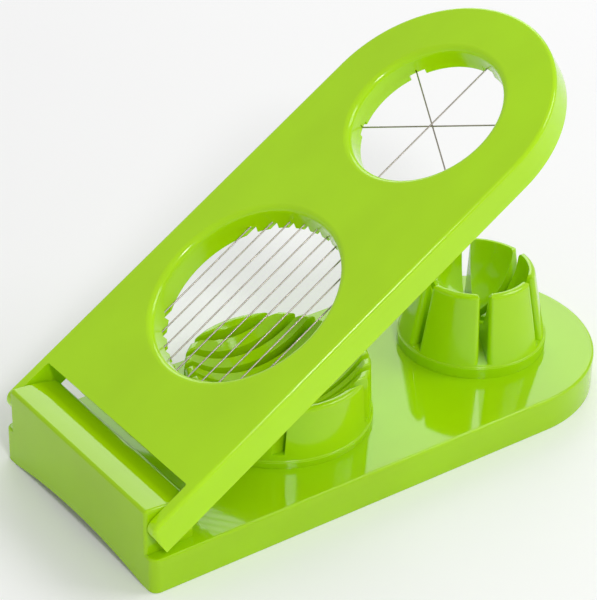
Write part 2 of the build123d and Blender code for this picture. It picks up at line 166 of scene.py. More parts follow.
# ------------------------------------------------------------------ what a user may change
class SlicerSizes(PropertyGroup):
    rim_round: FloatProperty(
        name="Window rim", description="Radius of the rounded rims of the lid's windows, in mm",
        default=2.4, min=0.5, max=2.6,
    )
    lid_round: FloatProperty(
        name="Lid edge", description="Radius of the lid's outer top edge, in mm",
        default=1.33, min=0.3, max=2.0,
    )
    deck_round: FloatProperty(
        name="Deck edge", description="Radius of the tray's outer top edge, in mm",
        default=0.9, min=0.3, max=2.0,
    )
    petal_round: FloatProperty(
        name="Petal edge", description="Radius of the wedging cup's petal edges, in mm",
        default=1.8, min=0.3, max=2.0,
    )
    slat_round: FloatProperty(
        name="Slat edge", description="Radius of the slicing cup's slat edges, in mm",
        default=0.7, min=0.2, max=1.2,
    )
    crisp_round: FloatProperty(
        name="Small edges", description="Radius of the edges that look sharp, in mm",
        default=0.3, min=0.1, max=0.5,
    )


class SlicerColours(PropertyGroup):
    plastic: FloatVectorProperty(
        name="Plastic", description="Colour of the moulded plastic", subtype="COLOR",
        size=4, min=0, max=1, default=(0.43, 0.77, 0.002, 1),
    )
    wire: FloatVectorProperty(
        name="Wire", description="Colour of the stainless wires", subtype="COLOR",
        size=4, min=0, max=1, default=(0.42, 0.37, 0.33, 1),
    )
    screw: FloatVectorProperty(
        name="Screws", description="Colour of the zinc-plated steel", subtype="COLOR",
        size=4, min=0, max=1, default=(0.60, 0.60, 0.58, 1),
    )
    floor: FloatVectorProperty(
        name="Floor", description="Colour of the floor", subtype="COLOR",
        size=4, min=0, max=1, default=(0.93, 0.93, 0.93, 1),
    )


# ------------------------------------------------------------------ shader maths
class Value:
    """A shader socket that takes part in Python expressions."""

    def __init__(self, tree, socket):
        self.tree = tree
        self.socket = socket

    def maths(self, operation, other):
        return self.tree.node("ShaderNodeMath", {"operation": operation}, [self, other])

    def __add__(self, other):
        return self.maths("ADD", other)

    def __mul__(self, other):
        return self.maths("MULTIPLY", other)

    __radd__ = __add__
    __rmul__ = __mul__


class Tree:
    """The node tree of one material."""

    def __init__(self, name):
        self.material = bpy.data.materials.new(name)
        self.material.use_nodes = True
        self.nodes = self.material.node_tree.nodes
        self.links = self.material.node_tree.links
        self.shader = self.nodes["Principled BSDF"]

    def feed(self, socket, value):
        """Set a socket to a plain value, or link it to another socket."""
        if isinstance(value, Value):
            self.links.new(value.socket, socket)
        else:
            socket.default_value = value

    def node(self, kind, settings=None, inputs=(), output=0):
        """Add a node, with its settings first and then its inputs by place or by name."""
        made = self.nodes.new(kind)
        for name, value in (settings or {}).items():
            setattr(made, name, value)
        pairs = inputs.items() if isinstance(inputs, dict) else enumerate(inputs)
        for key, value in pairs:
            self.feed(made.inputs[key], value)
        return Value(self, made.outputs[output])

    def shade(self, **values):
        """Set the main shader's sockets; an underscore stands for a space."""
        for name, value in values.items():
            self.feed(self.shader.inputs[name.replace("_", " ")], value)

    def coordinates(self, scale=(1, 1, 1)):
        """Object coordinates, stretched."""
        place = self.node("ShaderNodeTexCoord", output="Object")
        return self.node("ShaderNodeMapping", {}, {"Vector": place, "Scale": scale})

    def noise(self, scale, detail=2.0, roughness=0.5, vector=None):
        """Noise from 0 to 1."""
        inputs = {"Scale": scale, "Detail": detail, "Roughness": roughness}
        inputs["Vector"] = vector or self.coordinates()
        return self.node("ShaderNodeTexNoise", {}, inputs, output="Fac")

    def spread(self, value, low, high, to_low=0.0, to_high=1.0):
        """Stretch a range of values onto another, and clamp it."""
        inputs = {
            "Value": value, "From Min": low, "From Max": high,
            "To Min": to_low, "To Max": to_high,
        }
        return self.node("ShaderNodeMapRange", {"clamp": True}, inputs)

    def blend(self, amount, first, second):
        """Mix two colours."""
        made = self.nodes.new("ShaderNodeMix")
        made.data_type = "RGBA"
        self.feed(made.inputs[0], amount)
        self.feed(made.inputs[6], first)
        self.feed(made.inputs[7], second)
        return Value(self, made.outputs[2])

    def bump(self, height, strength, distance):
        """A normal from a height."""
        inputs = {"Strength": strength, "Distance": distance, "Height": height}
        return self.node("ShaderNodeBump", {}, inputs)


def tinted(colour, factor, green=1.0):
    """A colour made darker or lighter, with its green scaled apart."""
    red, grn, blue, alpha = colour
    return (min(red * factor, 1), min(grn * factor * green, 1), min(blue * factor, 1), alpha)


def moulded_plastic(name, colour, gloss, sink, polish):
    """Glossy moulded plastic: faint flow marks, soft sink, handling marks in the gloss.

    Gloss is the mean roughness, sink the depth of the unevenness in metres, and polish the
    strength of the reflection.
    """
    tree = Tree(name)
    flow = tree.noise(9.0, 3.0, 0.55, tree.coordinates((1, 2.2, 1.6)))
    cloud = tree.noise(38.0, 2.0)
    tone = tree.spread(flow * 0.65 + cloud * 0.35, 0.34, 0.66)
    base = tree.blend(tone, tinted(colour, 0.95, 0.985), tinted(colour, 1.05, 1.01))
    specks = tree.spread(tree.noise(2600.0, 1.0), 0.74, 0.80)
    base = tree.blend(specks * 0.35, base, tinted(colour, 0.72))
    rubbed = tree.noise(24.0, 5.0, 0.62)
    fine = tree.noise(900.0, 2.0, 0.6, tree.coordinates((1, 0.12, 1)))
    scuffs = tree.spread(fine, 0.62, 0.78)
    matt = tree.spread(rubbed, 0.35, 0.75, gloss * 0.75, gloss * 1.45)
    skin = tree.noise(620.0, 1.5) * 0.22 + tree.noise(55.0, 1.0)
    tree.shade(
        Base_Color=base,
        Roughness=matt + scuffs * 0.05,
        Normal=tree.bump(skin, 0.35, sink),
        Specular_IOR_Level=polish,
        IOR=1.52,
        Subsurface_Weight=0.12,
        Subsurface_Radius=(0.9, 1.0, 0.12),
        Subsurface_Scale=0.003,
        Coat_Weight=polish * 0.45,
        Coat_Roughness=0.05,
    )
    return tree.material


def drawn_wire(colour):
    """Stainless wire: streaks along the wire and a dull drawn skin."""
    tree = Tree("drawn_wire")
    streaks = tree.noise(5200.0, 3.0, 0.6, tree.coordinates((0.02, 1, 1)))
    mottle = tree.noise(240.0, 2.0)
    tone = tree.spread(streaks * 0.6 + mottle * 0.4, 0.3, 0.7)
    tree.shade(
        Base_Color=tree.blend(tone, tinted(colour, 0.72), tinted(colour, 1.2)),
        Metallic=1.0,
        Roughness=tree.spread(mottle, 0.3, 0.7, 0.24, 0.40),
        Normal=tree.bump(streaks, 0.4, 0.00002),
    )
    return tree.material


def zinc_plate(colour):
    """Bright zinc on small steel parts: grain, faint blue-yellow tint and rub marks."""
    tree = Tree("zinc_plate")
    grain = tree.noise(3800.0, 3.0, 0.6)
    stain = tree.noise(420.0, 3.0, 0.5)
    cool = (colour[0] * 0.86, colour[1] * 0.94, colour[2] * 1.08, 1)
    warm = (colour[0] * 1.08, colour[1] * 1.04, colour[2] * 0.86, 1)
    tree.shade(
        Base_Color=tree.blend(tree.spread(stain, 0.3, 0.7), cool, warm),
        Metallic=1.0,
        Roughness=tree.spread(grain, 0.3, 0.7, 0.22, 0.42),
        Normal=tree.bump(grain, 0.3, 0.00002),
    )
    return tree.material


def floor_paint(colour):
    """Pale matt board with a breath of unevenness."""
    tree = Tree("floor_paint")
    cloud = tree.noise(3.0, 4.0)
    tree.shade(
        Base_Color=tree.blend(cloud, tinted(colour, 0.985), tinted(colour, 1.015)),
        Roughness=0.75,
        Specular_IOR_Level=0.2,
    )
    return tree.material


FINISHES = {}


def finish_named(name):
    """The named finish, made once."""
    if name not in FINISHES:
        colours = bpy.context.scene.slicer_colours
        plastic = tuple(colours.plastic)
        # The tray and the cups take the lid's plastic colour darkened by 18% and 12%: this is
        # painted shade, not a different plastic, as all the mouldings are one green plastic.
        tray_plastic_painted_shade = tinted(plastic, 0.82)
        cup_plastic_painted_shade = tinted(plastic, 0.88)
        makers = {
            "lid_plastic": lambda: moulded_plastic("lid_plastic", plastic, 0.14, 0.00003, 0.35),
            "deck_plastic_painted_shade": lambda: moulded_plastic(
                "deck_plastic_painted_shade", tray_plastic_painted_shade, 0.055, 0.000004, 0.27),
            "cup_plastic_painted_shade": lambda: moulded_plastic(
                "cup_plastic_painted_shade", cup_plastic_painted_shade, 0.13, 0.00002, 0.35),
            "drawn_wire": lambda: drawn_wire(tuple(colours.wire)),
            "zinc_plate": lambda: zinc_plate(tuple(colours.screw)),
            "floor_paint": lambda: floor_paint(tuple(colours.floor)),
        }
        FINISHES[name] = makers[name]()
    return FINISHES[name]


# ------------------------------------------------------------------ modelling by hand, in code
def leave():
    """Out of edit mode with nothing selected."""
    if bpy.context.object and bpy.context.object.mode != "OBJECT":
        bpy.ops.object.mode_set(mode="OBJECT")
    bpy.ops.object.select_all(action="DESELECT")


def take(piece):
    """Make a piece the only selected object."""
    leave()
    piece.select_set(True)
    bpy.context.view_layer.objects.active = piece


def choose(piece, kind, test):
    """In edit mode, select the vertices or edges whose ends pass the test."""
    take(piece)
    bpy.ops.object.mode_set(mode="EDIT")
    bpy.ops.mesh.select_mode(type=kind)
    bpy.ops.mesh.select_all(action="DESELECT")
    bpy.ops.object.mode_set(mode="OBJECT")
    mesh = piece.data
    points = [v.co for v in mesh.vertices]
    if kind == "VERT":
        for v in mesh.vertices:
            v.select = test([v.co])
    else:
        for e in mesh.edges:
            e.select = test([points[k] for k in e.vertices])
    bpy.ops.object.mode_set(mode="EDIT")


def near(a, b, gap=0.01):
    """True where two lengths are the same."""
    return abs(a - b) < gap


def bevel(piece, test, radius, segments):
    """Round the edges whose ends pass the test."""
    choose(piece, "EDGE", test)
    bpy.ops.mesh.bevel(offset=radius, segments=segments, profile=0.5, affect="EDGES",
                       clamp_overlap=False)
    bpy.ops.object.mode_set(mode="OBJECT")


def tidy(piece):
    """Merge doubles and point every face outwards."""
    take(piece)
    bpy.ops.object.mode_set(mode="EDIT")
    bpy.ops.mesh.select_all(action="SELECT")
    bpy.ops.mesh.remove_doubles(threshold=0.0005)
    bpy.ops.mesh.normals_make_consistent(inside=False)
    bpy.ops.object.mode_set(mode="OBJECT")


def slab(rear, nose, radius, low, high, steps=160):
    """A strip from x = rear that ends in a half circle about x = nose."""
    leave()
    bpy.ops.mesh.primitive_circle_add(
        vertices=steps, radius=radius, fill_type="NGON", location=(nose, 0, low))
    piece = bpy.context.object
    bpy.ops.object.transform_apply(location=True, rotation=True, scale=True)
    bpy.ops.object.mode_set(mode="EDIT")
    bpy.ops.mesh.select_all(action="SELECT")
    bpy.ops.mesh.bisect(plane_co=(nose, 0, low), plane_no=(1, 0, 0), clear_inner=True)
    choose(piece, "EDGE", lambda ends: all(near(p.x, nose) for p in ends))
    bpy.ops.mesh.extrude_region_move(TRANSFORM_OT_translate={"value": (rear - nose, 0, 0)})
    bpy.ops.mesh.select_all(action="SELECT")
    bpy.ops.mesh.extrude_region_move(TRANSFORM_OT_translate={"value": (0, 0, high - low)})
    tidy(piece)
    return piece


def cuboid(low, high):
    """A box between two corners."""
    leave()
    size = [h - l for l, h in zip(low, high)]
    middle = [(h + l) / 2 for l, h in zip(low, high)]
    bpy.ops.mesh.primitive_cube_add(size=1, location=middle, scale=size)
    bpy.ops.object.transform_apply(location=True, rotation=True, scale=True)
    return bpy.context.object


def rod(centre, radius, length, axis="Z", steps=32):
    """A cylinder about the centre, along an axis."""
    leave()
    turn = {"X": (0, pi / 2, 0), "Y": (pi / 2, 0, 0), "Z": (0, 0, 0)}[axis]
    bpy.ops.mesh.primitive_cylinder_add(
        vertices=steps, radius=radius, depth=length, location=centre, rotation=turn)
    bpy.ops.object.transform_apply(location=True, rotation=True, scale=True)
    return bpy.context.object


def turned(profile, centre_x, steps, closed=False):
    """A solid of revolution: a circle extruded through (radius, height) points.

    A closed profile makes a ring. An open one is capped at its start and drawn together
    to a point, or capped, at its end.
    """
    leave()
    radius, height = profile[0]
    bpy.ops.mesh.primitive_circle_add(
        vertices=steps, radius=radius, fill_type="NOTHING" if closed else "NGON",
        location=(0, 0, height))
    piece = bpy.context.object
    bpy.ops.object.transform_apply(location=True, rotation=True, scale=True)
    bpy.ops.object.mode_set(mode="EDIT")
    bpy.ops.mesh.select_all(action="SELECT")
    stops = list(profile[1:]) + ([profile[0]] if closed else [])
    for to_radius, to_height in stops:
        bpy.ops.mesh.extrude_region_move(
            TRANSFORM_OT_translate={"value": (0, 0, to_height - height)})
        if to_radius != radius:
            scale = to_radius / radius
            bpy.ops.transform.resize(
                value=(scale, scale, 1), center_override=(0, 0, to_height))
        radius, height = to_radius, to_height
    bpy.ops.object.mode_set(mode="OBJECT")
    piece.location.x = centre_x
    bpy.ops.object.transform_apply(location=True, rotation=True, scale=True)
    tidy(piece)
    return piece


def arc(centre, radius, start, end, steps):
    """Points along an arc in (radius, height), from one angle in degrees to another."""
    angles = [radians(start + (end - start) * k / steps) for k in range(steps + 1)]
    return [(centre[0] + radius * cos(a), centre[1] + radius * sin(a)) for a in angles]


def rounded_band(inner_low, inner_high, outer, low, high, radius, steps=3):
    """Closed profile of a flat ring with a tapering bore and rounded corners."""
    return (
        arc((inner_low + radius, low + radius), radius, 180, 270, steps)
        + arc((outer - radius, low + radius), radius, 270, 360, steps)
        + arc((outer - radius, high - radius), radius, 0, 90, steps)
        + [(inner_high, high)]
    )


def combine(piece, tool, operation):
    """Join a tool to a piece, or cut it away, and throw the tool away."""
    take(piece)
    bpy.ops.object.modifier_add(type="BOOLEAN")
    modifier = piece.modifiers[-1]
    modifier.operation = operation
    modifier.solver = "EXACT"
    modifier.object = tool
    bpy.ops.object.modifier_apply(modifier=modifier.name)
    bpy.data.objects.remove(tool)


def cut(piece, *tools):
    """Cut tools out of a piece."""
    for tool in tools:
        combine(piece, tool, "DIFFERENCE")


def weld(piece, *tools):
    """Join tools to a piece."""
    for tool in tools:
        combine(piece, tool, "UNION")


def gather(pieces):
    """Join separate objects into one, as they are."""
    leave()
    for piece in pieces:
        piece.select_set(True)
    bpy.context.view_layer.objects.active = pieces[0]
    bpy.ops.object.join()
    return bpy.context.object


def turn_about(piece, centre_x, degrees_round):
    """Turn a piece about a vertical axis at x = centre_x."""
    spin = Matrix.Rotation(radians(degrees_round), 4, "Z")
    out = Matrix.Translation((centre_x, 0, 0))
    piece.matrix_world = out @ spin @ out.inverted() @ piece.matrix_world
    take(piece)
    bpy.ops.object.transform_apply(location=True, rotation=True, scale=True)
    return piece


def spots(centre_x, radius, turns):
    """Points on a circle about (centre_x, 0)."""
    return [
        (centre_x + radius * cos(radians(t)), radius * sin(radians(t))) for t in turns
    ]


def settle(piece, name, place, node, finish, angle=32):
    """Put a finished piece in its place, smooth it, and tie it to its frame node."""
    tidy(piece)
    piece.name = name
    piece.data.name = name
    piece.matrix_world = place @ piece.matrix_world
    bpy.ops.object.transform_apply(location=True, rotation=True, scale=True)
    bpy.ops.object.shade_smooth_by_angle(angle=radians(angle))
    bpy.ops.object.modifier_add(type="WEIGHTED_NORMAL")
    weighted = piece.modifiers[-1]
    weighted.keep_sharp = True
    weighted.weight = 60
    bpy.ops.object.modifier_apply(modifier=weighted.name)
    piece.data.materials.clear()
    piece.data.materials.append(finish_named(finish))
    bodies = frame["record"]["behaviour"]["bodies"]
    body = next(b for b, members in bodies.items() if node in members)
    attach(piece, body)
    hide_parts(node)
    return piece


# ------------------------------------------------------------------ the tray
class EGGSLICER_OT_tray(Operator):
    """Model the tray: glossy deck, downturned rim and hinge block with a falling top"""
    bl_idname = "eggslicer.tray"
    bl_label = "Tray"

    def execute(self, context):
        sizes = context.scene.slicer_sizes
        crisp = sizes.crisp_round
        rear = TRAY_LOW.x
        tray = slab(rear, NOSE_X, HALF_WIDTH, 0, DECK_Z)
        bevel(tray, lambda e: all(near(p.x, rear) for p in e) and not near(e[0].z, e[1].z),
              REAR_CORNER, 8)
        bevel(tray, lambda e: all(near(p.z, DECK_Z) for p in e)
              and not (near(e[0].x, NOSE_X) and near(e[1].x, NOSE_X)), sizes.deck_round, 4)
        bevel(tray, lambda e: all(near(p.z, 0) for p in e)
              and not (near(e[0].x, NOSE_X) and near(e[1].x, NOSE_X)), crisp, 2)
        weld(tray, self.hinge_block())
        hollow = slab(rear + TRAY_WALL, NOSE_X, HALF_WIDTH - TRAY_WALL, -OVERRUN, DECK_UNDER)
        bevel(hollow, lambda e: all(near(p.z, DECK_UNDER) for p in e)
              and not (near(e[0].x, NOSE_X) and near(e[1].x, NOSE_X)), 1.0, 3)
        inside = cuboid((rear + TRAY_WALL, TRAY_WALL - BLOCK_HALF, -OVERRUN),
                        (rear + BLOCK_DEPTH - TRAY_WALL, BLOCK_HALF - TRAY_WALL,
                         BLOCK_TOP - BLOCK_FALL - TRAY_WALL))
        arch_radius = (ARCH_HALF**2 + ARCH_RISE**2) / (2 * ARCH_RISE)
        arch = rod((rear, 0, ARCH_RISE - arch_radius), arch_radius, 2 * TRAY_WALL, "X", 720)
        cut(tray, hollow, inside, arch)
        self.underside(tray)
        settle(tray, "tray_moulding", TRAY_PLACE, "base_tray", "deck_plastic_painted_shade")
        return {"FINISHED"}

    def hinge_block(self):
        """The block across the rear: its top falls in an arc to the front, edges rounded."""
        rear = TRAY_LOW.x
        block = cuboid((rear, -BLOCK_HALF, DECK_Z - BLOCK_ROUND),
                       (rear + BLOCK_DEPTH, BLOCK_HALF, BLOCK_TOP))
        choose(block, "EDGE", lambda e: near(e[0].y, e[1].y) and near(e[0].z, e[1].z))
        bpy.ops.mesh.subdivide(number_cuts=BLOCK_STEPS - 1)
        bpy.ops.object.mode_set(mode="OBJECT")
        top_radius = (BLOCK_DEPTH**2 + BLOCK_FALL**2) / (2 * BLOCK_FALL)
        for k in range(1, BLOCK_STEPS + 1):
            x = BLOCK_DEPTH * k / BLOCK_STEPS
            fall = top_radius - sqrt(top_radius**2 - x**2)
            choose(block, "VERT", lambda v: near(v[0].x, rear + x) and near(v[0].z, BLOCK_TOP))
            bpy.ops.transform.translate(value=(0, 0, -fall))
            bpy.ops.object.mode_set(mode="OBJECT")
        low = BLOCK_TOP - BLOCK_FALL - 0.01
        sides = (rear, rear + BLOCK_DEPTH)

        def outer(e):
            high = all(p.z > low for p in e)
            along = high and any(all(near(p.x, s) for p in e) for s in sides)
            across = high and near(abs(e[0].y), BLOCK_HALF) and near(e[0].y, e[1].y)
            upright = not near(e[0].z, e[1].z, 3) and any(near(e[0].x, s) for s in sides)
            return along or across or upright

        bevel(block, outer, BLOCK_ROUND, 4)
        return block

    def underside(self, tray):
        """Ribs, pin bosses and screw holes, seen from below."""
        rear = TRAY_LOW.x
        middle = (SLICING_X + SLICING_RADIUS + WEDGING_X - WEDGING_RADIUS) / 2
        inner = HALF_WIDTH - TRAY_WALL
        for x in (rear + BLOCK_DEPTH + RIB, SLICING_X, middle, WEDGING_X):
            reach = inner if x < NOSE_X else sqrt(inner**2 - (x - NOSE_X) ** 2)
            weld(tray, cuboid((x - RIB / 2, -reach - 0.3, RIB_LIFT),
                              (x + RIB / 2, reach + 0.3, DECK_UNDER + 0.3)))
        for side in (-1, 1):
            y = side * (BLOCK_HALF - PIN_IN_BLOCK / 2 - 1)
            boss = rod((HINGE.x, y, HINGE.z), PIN_RADIUS + PIN_BOSS_WALL,
                       PIN_IN_BLOCK + 1.8, "Y")
            weld(tray, boss)
            y = side * (BLOCK_HALF - PIN_IN_BLOCK / 2 + 0.5)
            cut(tray, rod((HINGE.x, y, HINGE.z), PIN_RADIUS, PIN_IN_BLOCK + 1, "Y"))
        for centre in (SLICING_X, WEDGING_X):
            for x, y in spots(centre, CUP_SCREW_CIRCLE, CUP_TURNS):
                cut(tray, rod((x, y, DECK_UNDER / 2 - 1), 4.0, DECK_UNDER + 2))
                cut(tray, rod((x, y, DECK_Z - 1.2), 1.7, 4.0))


# ------------------------------------------------------------------ the cups
def cup_solid(centre, radius, height, taper, foot, shoulder, bowl):
    """Turned body of a cup: recess, foot ring, tapered wall, rounded shoulder and bowl."""
    recess_z = SLOT_FLOOR - CUP_WALL
    top = DECK_Z + height
    outer = radius - taper
    foot_radius = radius + FOOT_LIP
    lean = taper / (height - foot)
    profile = [(radius - CUP_WALL, recess_z), (radius - CUP_WALL, DECK_Z),
               (foot_radius - 0.15, DECK_Z)]
    profile += arc((foot_radius - 0.45, DECK_Z + foot - 0.45), 0.45, 0, 90, 4)
    # a small hollow fillet leads from the foot ring up into the wall
    profile += arc((radius + 0.5, DECK_Z + foot + 0.55), 0.55, 270, 195, 3)
    wall_lean = degrees(atan(lean))
    profile += arc((outer - shoulder + lean, top - shoulder), shoulder, wall_lean, 90, 7)
    profile += bowl
    cup = turned(profile, centre, 120)
    for x, y in spots(centre, CUP_SCREW_CIRCLE, CUP_TURNS):
        weld(cup, rod((x, y, (DECK_Z + recess_z + 0.4) / 2), 3.3, recess_z + 0.4 - DECK_Z))
        cut(cup, rod((x, y, DECK_Z + 1), 1.5, 6.0))
    return cup


def prism(outline, depth, lift):
    """A prism on a flat outline of (x, y) points: its first face at z = lift, depth high."""
    leave()
    bpy.ops.mesh.primitive_circle_add(
        vertices=len(outline), radius=1, fill_type="NGON", location=(0, 0, lift))
    piece = bpy.context.object
    bpy.ops.object.transform_apply(location=True, rotation=True, scale=True)
    for vertex, (x, y) in zip(piece.data.vertices, outline):
        vertex.co = (x, y, lift)
    bpy.ops.object.mode_set(mode="EDIT")
    bpy.ops.mesh.select_all(action="SELECT")
    bpy.ops.mesh.extrude_region_move(TRANSFORM_OT_translate={"value": (0, 0, depth)})
    tidy(piece)
    return piece


def top_flare(centre, y, width, radius, reach, top):
    """Cutter for a slot along X that opens with rounded upper edges."""
    half = width / 2
    right = [(half + radius + radius * cos(radians(t)), -radius + radius * sin(radians(t)))
             for t in range(180, 89, -15)]
    right += [(half + radius, 3)]
    left = [(-x, z) for x, z in reversed(right)]
    floor = SLOT_FLOOR - top
    outline = [(half, floor), *right, *left, (-half, floor)]
    slot = prism(outline, 2 * reach, -reach)
    # stand it up: its depth turns to lie along X
    slot.matrix_world = (
        Matrix.Translation((centre, y, top))
        @ Matrix(((0, 0, 1, 0), (1, 0, 0, 0), (0, 1, 0, 0), (0, 0, 0, 1))))
    take(slot)
    bpy.ops.object.transform_apply(location=True, rotation=True, scale=True)
    tidy(slot)
    return slot


def side_flare(centre, width, radius, low_reach, high_reach, low, high):
    """Cutter for a slot along X that opens with rounded outer edges on a tapered wall."""
    # inside the slot this cutter stays just clear of the slot's own walls
    half = width / 2
    end = [(-radius - 0.4, half - 0.06)]
    end += [(-radius + radius * cos(radians(t)), half + radius + radius * sin(radians(t)))
            for t in range(-78, 1, 13)]
    end += [(4, half + radius)]
    corner = [(low_reach + x, y) for x, y in end]
    front = corner + [(x, -y) for x, y in reversed(corner)]
    outline = front + [(-x, -y) for x, y in front]
    slot = prism(outline, high - low, low)
    for sign in (-1, 1):
        choose(slot, "VERT", lambda v: near(v[0].z, high) and sign * v[0].x > low_reach / 2)
        bpy.ops.transform.translate(value=(sign * (high_reach - low_reach), 0, 0))
        bpy.ops.object.mode_set(mode="OBJECT")
    slot.location.x = centre
    take(slot)
    bpy.ops.object.transform_apply(location=True, rotation=True, scale=True)
    tidy(slot)
    return slot


class EGGSLICER_OT_slicing_cup(Operator):
    """Model the low cup with its parallel slots and rounded slats"""
    bl_idname = "eggslicer.slicing_cup"
    bl_label = "Slicing cup"

    def execute(self, context):
        slat_round = context.scene.slicer_sizes.slat_round
        top = SLICING_HIGH.z
        mouth = SLICING_RADIUS - SLICING_TAPER - SLICING_RIM
        depth = top - BOWL_FLOOR
        sphere = (mouth**2 + depth**2) / (2 * depth)
        bowl = [(mouth + 0.5, top), (mouth + 0.12, top - 0.12)]
        for k in range(1, 15):
            r = mouth * (1 - k / 15)
            bowl.append((r, BOWL_FLOOR + sphere - sqrt(sphere**2 - r**2)))
        cup = cup_solid(SLICING_X, SLICING_RADIUS, top - DECK_Z, SLICING_TAPER,
                        SLICING_FOOT, SLICING_SHOULDER, bowl)
        for y, turn, level in SLICING_WIRES:
            cut(cup, top_flare(SLICING_X, y, SLICING_SLOT, slat_round,
                               SLICING_RADIUS + 2, top))
        settle(cup, "slicing_cup_moulding", TRAY_PLACE, "slicing_cup", "cup_plastic_painted_shade")
        return {"FINISHED"}


class EGGSLICER_OT_wedging_cup(Operator):
    """Model the tall cup with its six rounded petals"""
    bl_idname = "eggslicer.wedging_cup"
    bl_label = "Wedging cup"

    def execute(self, context):
        petal_round = context.scene.slicer_sizes.petal_round
        top = WEDGING_HIGH.z
        mouth = WEDGING_RADIUS - WEDGING_TAPER - WEDGING_RIM
        depth = top - BOWL_FLOOR
        bowl = [(mouth + 0.5, top), (mouth + 0.12, top - 0.12)]
        for k in range(1, 16):
            a = radians(90 * k / 16)
            bowl.append((mouth * cos(a), top - depth * sin(a)))
        cup = cup_solid(WEDGING_X, WEDGING_RADIUS, top - DECK_Z, WEDGING_TAPER,
                        WEDGING_FOOT, WEDGING_SHOULDER, bowl)
        lean = WEDGING_TAPER / (top - DECK_Z - WEDGING_FOOT)
        flare_y = WEDGING_SLOT / 2 + petal_round
        foot_z = DECK_Z + WEDGING_FOOT
        low_reach = half_chord(WEDGING_RADIUS - lean * (SLOT_FLOOR - foot_z), flare_y)
        high_reach = half_chord(WEDGING_RADIUS - lean * (top - foot_z), flare_y)
        high_reach -= lean * 3
        for y, turn, level in WEDGING_WIRES:
            upper = top_flare(WEDGING_X, 0, WEDGING_SLOT, petal_round,
                              WEDGING_RADIUS + 2, top)
            outer = side_flare(WEDGING_X, WEDGING_SLOT, petal_round, low_reach, high_reach,
                               SLOT_FLOOR + 0.07, top + 3.2)
            cut(cup, turn_about(upper, WEDGING_X, turn), turn_about(outer, WEDGING_X, turn))
        settle(cup, "wedging_cup_moulding", TRAY_PLACE, "wedging_cup", "cup_plastic_painted_shade")
        return {"FINISHED"}


